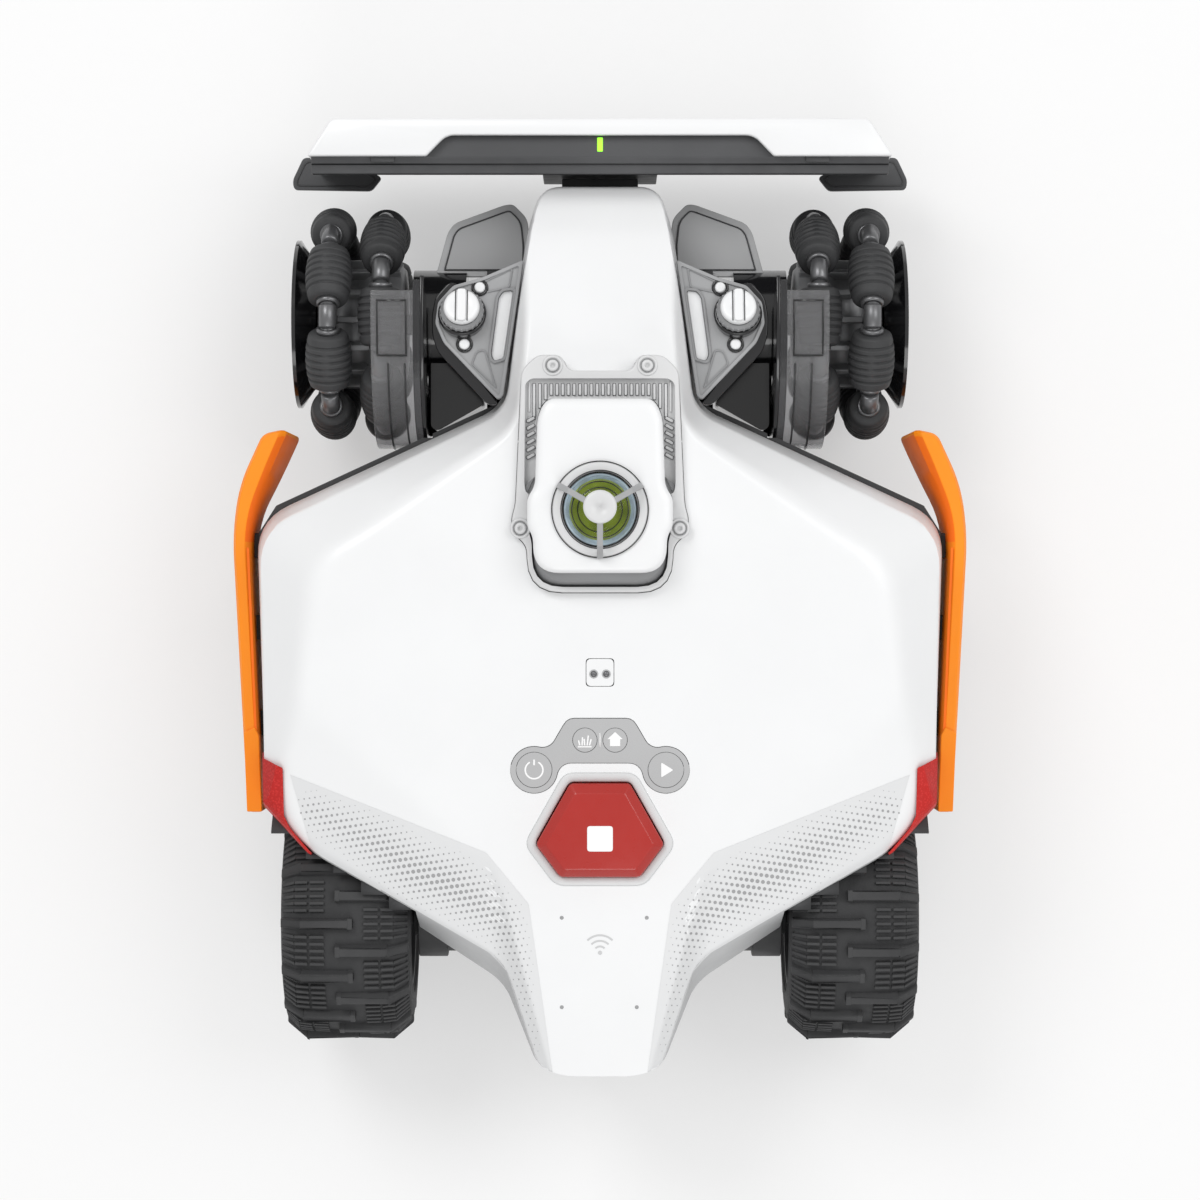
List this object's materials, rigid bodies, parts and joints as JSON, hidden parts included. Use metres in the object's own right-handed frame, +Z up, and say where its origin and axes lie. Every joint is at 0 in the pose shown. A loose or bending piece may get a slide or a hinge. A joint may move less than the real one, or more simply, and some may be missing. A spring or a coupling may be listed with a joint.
{
  "type": "robotic lawn mower",
  "caption": "Robotic lawn mower: omni-roller front wheels on swing arms, lugged rear wheels, floating bumper, scanner turret, stop button and pivoting blades.",
  "frame": {"origin": "on the ground, under the middle of the machine's overall length and width", "axes": "+X to the machine's right, +Y forward (the bumper end), +Z up"},
  "size_m": [0.534, 0.69, 0.273],
  "materials": {
    "white_plastic": "satin",
    "dark_plastic": "matte",
    "hull_plastic": "matte",
    "grey_plastic": "satin",
    "light_grey": "satin",
    "orange_plastic": "satin",
    "red_plastic": "satin",
    "red_reflector": "gloss",
    "roller_rubber": "matte",
    "tyre_rubber": "matte",
    "dome_glass": "clear",
    "smoked_plastic": "smoked gloss",
    "steel": "brushed",
    "lamp_green": "lit",
    "board_green": "matte",
    "battery_blue": "matte",
    "black_glass": "gloss"
  },
  "bodies": {
    "chassis": {"top_cover": "white_plastic", "lower_hull": "hull_plastic", "stop_bezel": "light_grey", "keypad_panel": "light_grey", "rain_sensor": "white_plastic", "scanner_base": "light_grey", "scanner_head": "white_plastic", "scanner_dome": "dome_glass", "scanner_guard": "light_grey", "side_guard_left": "orange_plastic", "side_guard_right": "orange_plastic", "tail_lamps": "red_reflector", "arm_pivot_pins": "steel", "strut_springs": "steel", "battery_pack": "battery_blue", "control_board": "board_green", "position_antenna": "white_plastic", "camera_window": "black_glass", "front_deflectors": "grey_plastic", "cover_screws": "steel", "strut_tower_left": "grey_plastic", "strut_tower_right": "grey_plastic", "rear_motor_left": "dark_plastic", "rear_motor_right": "dark_plastic"},
    "stop_button": {"stop_button": "red_plastic"},
    "bumper": {"bumper_beam": "hull_plastic", "bumper_cap": "white_plastic", "bumper_arm": "hull_plastic", "status_lamp": "lamp_green"},
    "deck": {"deck_plate": "dark_plastic", "disc_motor_left": "dark_plastic", "disc_motor_right": "dark_plastic"},
    "arm_left": {"swing_arm_left": "dark_plastic", "wheel_guard_left": "smoked_plastic"},
    "arm_right": {"swing_arm_right": "dark_plastic", "wheel_guard_right": "smoked_plastic"},
    "front_wheel_left": {"omni_hub_left": "grey_plastic", "omni_rollers_left": "roller_rubber", "hub_cap_left": "black_glass"},
    "front_wheel_right": {"omni_hub_right": "grey_plastic", "omni_rollers_right": "roller_rubber", "hub_cap_right": "black_glass"},
    "rear_wheel_left": {"rear_tyre_left": "tyre_rubber", "rear_rim_left": "dark_plastic"},
    "rear_wheel_right": {"rear_tyre_right": "tyre_rubber", "rear_rim_right": "dark_plastic"},
    "knob_left": {"strut_knob_left": "light_grey"},
    "knob_right": {"strut_knob_right": "light_grey"},
    "disc_left": {"cutting_disc_left": "dark_plastic"},
    "disc_right": {"cutting_disc_right": "dark_plastic"},
    "power_key": {"power_key": "light_grey"},
    "start_key": {"start_key": "light_grey"},
    "mow_key": {"mow_key": "light_grey"},
    "home_key": {"home_key": "light_grey"},
    "blade_left_1": {"blade_left_1": "steel"},
    "blade_left_2": {"blade_left_2": "steel"},
    "blade_left_3": {"blade_left_3": "steel"},
    "blade_right_1": {"blade_right_1": "steel"},
    "blade_right_2": {"blade_right_2": "steel"},
    "blade_right_3": {"blade_right_3": "steel"}
  },
  "joints": [
    {"name": "bumper_push", "type": "slide", "parent": "chassis", "child": "bumper", "axis": [0, -1, 0], "range_m": [0, 0.008], "stiffness_N_per_m": 400},
    {"name": "arm_left_swing", "type": "hinge", "parent": "chassis", "child": "arm_left", "pos_m": [-0.072, 0.204, 0.092], "axis": [0, 1, 0], "range_deg": [-3, 3]},
    {"name": "arm_right_swing", "type": "hinge", "parent": "chassis", "child": "arm_right", "pos_m": [0.072, 0.204, 0.092], "axis": [0, 1, 0], "range_deg": [-3, 3]},
    {"name": "front_wheel_left_spin", "type": "hinge", "parent": "arm_left", "child": "front_wheel_left", "pos_m": [-0.177, 0.204, 0.086], "axis": [1, 0, 0], "continuous": true},
    {"name": "front_wheel_right_spin", "type": "hinge", "parent": "arm_right", "child": "front_wheel_right", "pos_m": [0.177, 0.204, 0.086], "axis": [1, 0, 0], "continuous": true},
    {"name": "rear_wheel_left_spin", "type": "hinge", "parent": "chassis", "child": "rear_wheel_left", "pos_m": [-0.183, -0.231, 0.092], "axis": [1, 0, 0], "continuous": true},
    {"name": "rear_wheel_right_spin", "type": "hinge", "parent": "chassis", "child": "rear_wheel_right", "pos_m": [0.183, -0.231, 0.092], "axis": [1, 0, 0], "continuous": true},
    {"name": "stop_press", "type": "slide", "parent": "chassis", "child": "stop_button", "axis": [0, 0.0872, -0.9962], "range_m": [0, 0.004]},
    {"name": "deck_lift", "type": "slide", "parent": "chassis", "child": "deck", "axis": [0, 0, 1], "range_m": [-0.03, 0.012]},
    {"name": "knob_left_turn", "type": "hinge", "parent": "chassis", "child": "knob_left", "pos_m": [-0.0985, 0.204, 0.172], "axis": [0, 0.309, 0.9511], "range_deg": [-90, 90]},
    {"name": "knob_right_turn", "type": "hinge", "parent": "chassis", "child": "knob_right", "pos_m": [0.0985, 0.204, 0.172], "axis": [0, 0.309, 0.9511], "range_deg": [-90, 90]},
    {"name": "disc_left_spin", "type": "hinge", "parent": "deck", "child": "disc_left", "pos_m": [-0.102, -0.004, 0.062], "axis": [0, 0, 1], "continuous": true},
    {"name": "disc_right_spin", "type": "hinge", "parent": "deck", "child": "disc_right", "pos_m": [0.102, -0.004, 0.062], "axis": [0, 0, 1], "continuous": true},
    {"name": "power_key_press", "type": "slide", "parent": "chassis", "child": "power_key", "axis": [0, 0.0872, -0.9962], "range_m": [0, 0.001]},
    {"name": "start_key_press", "type": "slide", "parent": "chassis", "child": "start_key", "axis": [0, 0.0872, -0.9962], "range_m": [0, 0.001]},
    {"name": "mow_key_press", "type": "slide", "parent": "chassis", "child": "mow_key", "axis": [0, 0.0872, -0.9962], "range_m": [0, 0.001]},
    {"name": "home_key_press", "type": "slide", "parent": "chassis", "child": "home_key", "axis": [0, 0.0872, -0.9962], "range_m": [0, 0.001]},
    {"name": "blade_left_1_pivot", "type": "hinge", "parent": "disc_left", "child": "blade_left_1", "pos_m": [-0.102, 0.06, 0.058], "axis": [0, 0, 1], "range_deg": [-90, 90]},
    {"name": "blade_left_2_pivot", "type": "hinge", "parent": "disc_left", "child": "blade_left_2", "pos_m": [-0.15743, -0.036, 0.058], "axis": [0, 0, 1], "range_deg": [-90, 90]},
    {"name": "blade_left_3_pivot", "type": "hinge", "parent": "disc_left", "child": "blade_left_3", "pos_m": [-0.04657, -0.036, 0.058], "axis": [0, 0, 1], "range_deg": [-90, 90]},
    {"name": "blade_right_1_pivot", "type": "hinge", "parent": "disc_right", "child": "blade_right_1", "pos_m": [0.102, 0.06, 0.058], "axis": [0, 0, 1], "range_deg": [-90, 90]},
    {"name": "blade_right_2_pivot", "type": "hinge", "parent": "disc_right", "child": "blade_right_2", "pos_m": [0.04657, -0.036, 0.058], "axis": [0, 0, 1], "range_deg": [-90, 90]},
    {"name": "blade_right_3_pivot", "type": "hinge", "parent": "disc_right", "child": "blade_right_3", "pos_m": [0.15743, -0.036, 0.058], "axis": [0, 0, 1], "range_deg": [-90, 90]}
  ]
}
